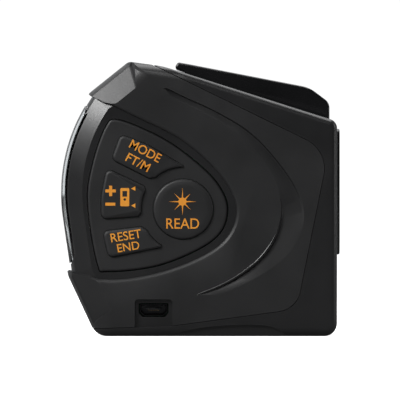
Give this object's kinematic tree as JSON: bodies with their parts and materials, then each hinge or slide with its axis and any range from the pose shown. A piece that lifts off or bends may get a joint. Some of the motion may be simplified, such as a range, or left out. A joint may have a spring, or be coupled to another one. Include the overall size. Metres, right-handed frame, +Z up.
{
  "type": "laser tape measure",
  "caption": "Pocket laser distance meter built into a short steel tape, with keypad, wrap-round display window, sprung blade lock, charging socket and belt clip.",
  "frame": {"origin": "middle of the flat base, under the middle of the case", "axes": "+X towards the target and the tape's mouth, -Y is the keypad side, +Z up through the blade lock"},
  "size_m": [0.0783, 0.0532, 0.0769],
  "materials": {
    "soft_black": "fine matt grain",
    "hard_black": "satin moulding",
    "gloss_black": "gloss",
    "rubber": "matt, printed legends",
    "clear": "clear, polished",
    "steel": "plated",
    "brass": "satin",
    "blade_yellow": "lacquered",
    "board_green": "solder resist",
    "pouch": "laminated foil",
    "nylon": "natural"
  },
  "bodies": {
    "case": {"right_shell": "hard_black", "left_shell": "hard_black", "right_overmold": "soft_black", "left_overmold": "soft_black", "side_badge": "gloss_black", "case_screw_1": "steel", "case_screw_2": "steel", "case_screw_3": "steel", "case_screw_4": "steel", "display_window": "clear", "lcd_panel": "clear", "lcd_frame": "nylon", "lcd_flex": "brass", "keypad_mat": "rubber", "dome_switch_1": "steel", "dome_switch_2": "steel", "dome_switch_3": "steel", "dome_switch_4": "steel", "main_board": "board_green", "processor_chip": "hard_black", "usb_socket": "steel", "battery": "pouch", "battery_lead": "rubber", "front_panel": "gloss_black", "receiver_window": "clear", "emitter_window": "clear", "optics_chassis": "hard_black", "receiver_lens": "clear", "collimator_barrel": "brass", "collimator_lens": "clear", "laser_diode": "brass", "photodetector": "steel", "detector_board": "board_green", "drum_arbor": "steel", "power_spring": "steel", "hook_bumper": "rubber", "lever_pin": "steel", "belt_clip": "steel", "clip_screw": "steel"},
    "mode_key": {"key_mode": "rubber"},
    "reference_key": {"key_reference": "rubber"},
    "clear_key": {"key_clear": "rubber"},
    "measure_key": {"key_measure": "rubber"},
    "lock": {"lock_lever": "gloss_black", "brake_pad": "rubber"},
    "reel": {"tape_drum": "nylon", "tape_coil": "blade_yellow"},
    "blade": {"tape_blade": "blade_yellow", "hook_rivet_1": "steel", "hook_rivet_2": "steel"},
    "hook": {"end_hook": "steel"}
  },
  "joints": [
    {"name": "mode_press", "type": "slide", "parent": "case", "child": "mode_key", "axis": [0, 1, 0], "range_m": [0, 0.0007], "stiffness_N_per_m": 600},
    {"name": "reference_press", "type": "slide", "parent": "case", "child": "reference_key", "axis": [0, 1, 0], "range_m": [0, 0.0007], "stiffness_N_per_m": 600},
    {"name": "clear_press", "type": "slide", "parent": "case", "child": "clear_key", "axis": [0, 1, 0], "range_m": [0, 0.0007], "stiffness_N_per_m": 600},
    {"name": "measure_press", "type": "slide", "parent": "case", "child": "measure_key", "axis": [0, 1, 0], "range_m": [0, 0.0007], "stiffness_N_per_m": 600},
    {"name": "lock_swing", "type": "hinge", "parent": "case", "child": "lock", "pos_m": [-0.001, 0, 0.07053], "axis": [0, 1, 0], "range_deg": [0, 5]},
    {"name": "reel_turn", "type": "hinge", "parent": "case", "child": "reel", "pos_m": [-0.0083, 0, 0.029], "axis": [0, 1, 0], "range_deg": [-112.5, 0], "stiffness_Nm_per_rad": 0.01, "springref_deg": 57.3},
    {"name": "blade_pull", "type": "slide", "parent": "case", "child": "blade", "axis": [1, 0, 0], "range_m": [0, 0.04]},
    {"name": "hook_float", "type": "slide", "parent": "blade", "child": "hook", "axis": [1, 0, 0], "range_m": [0, 0.001]}
  ],
  "couplings": [
    {"joint": "blade_pull", "follows": "reel_turn", "m_per_rad": -0.0203}
  ]
}
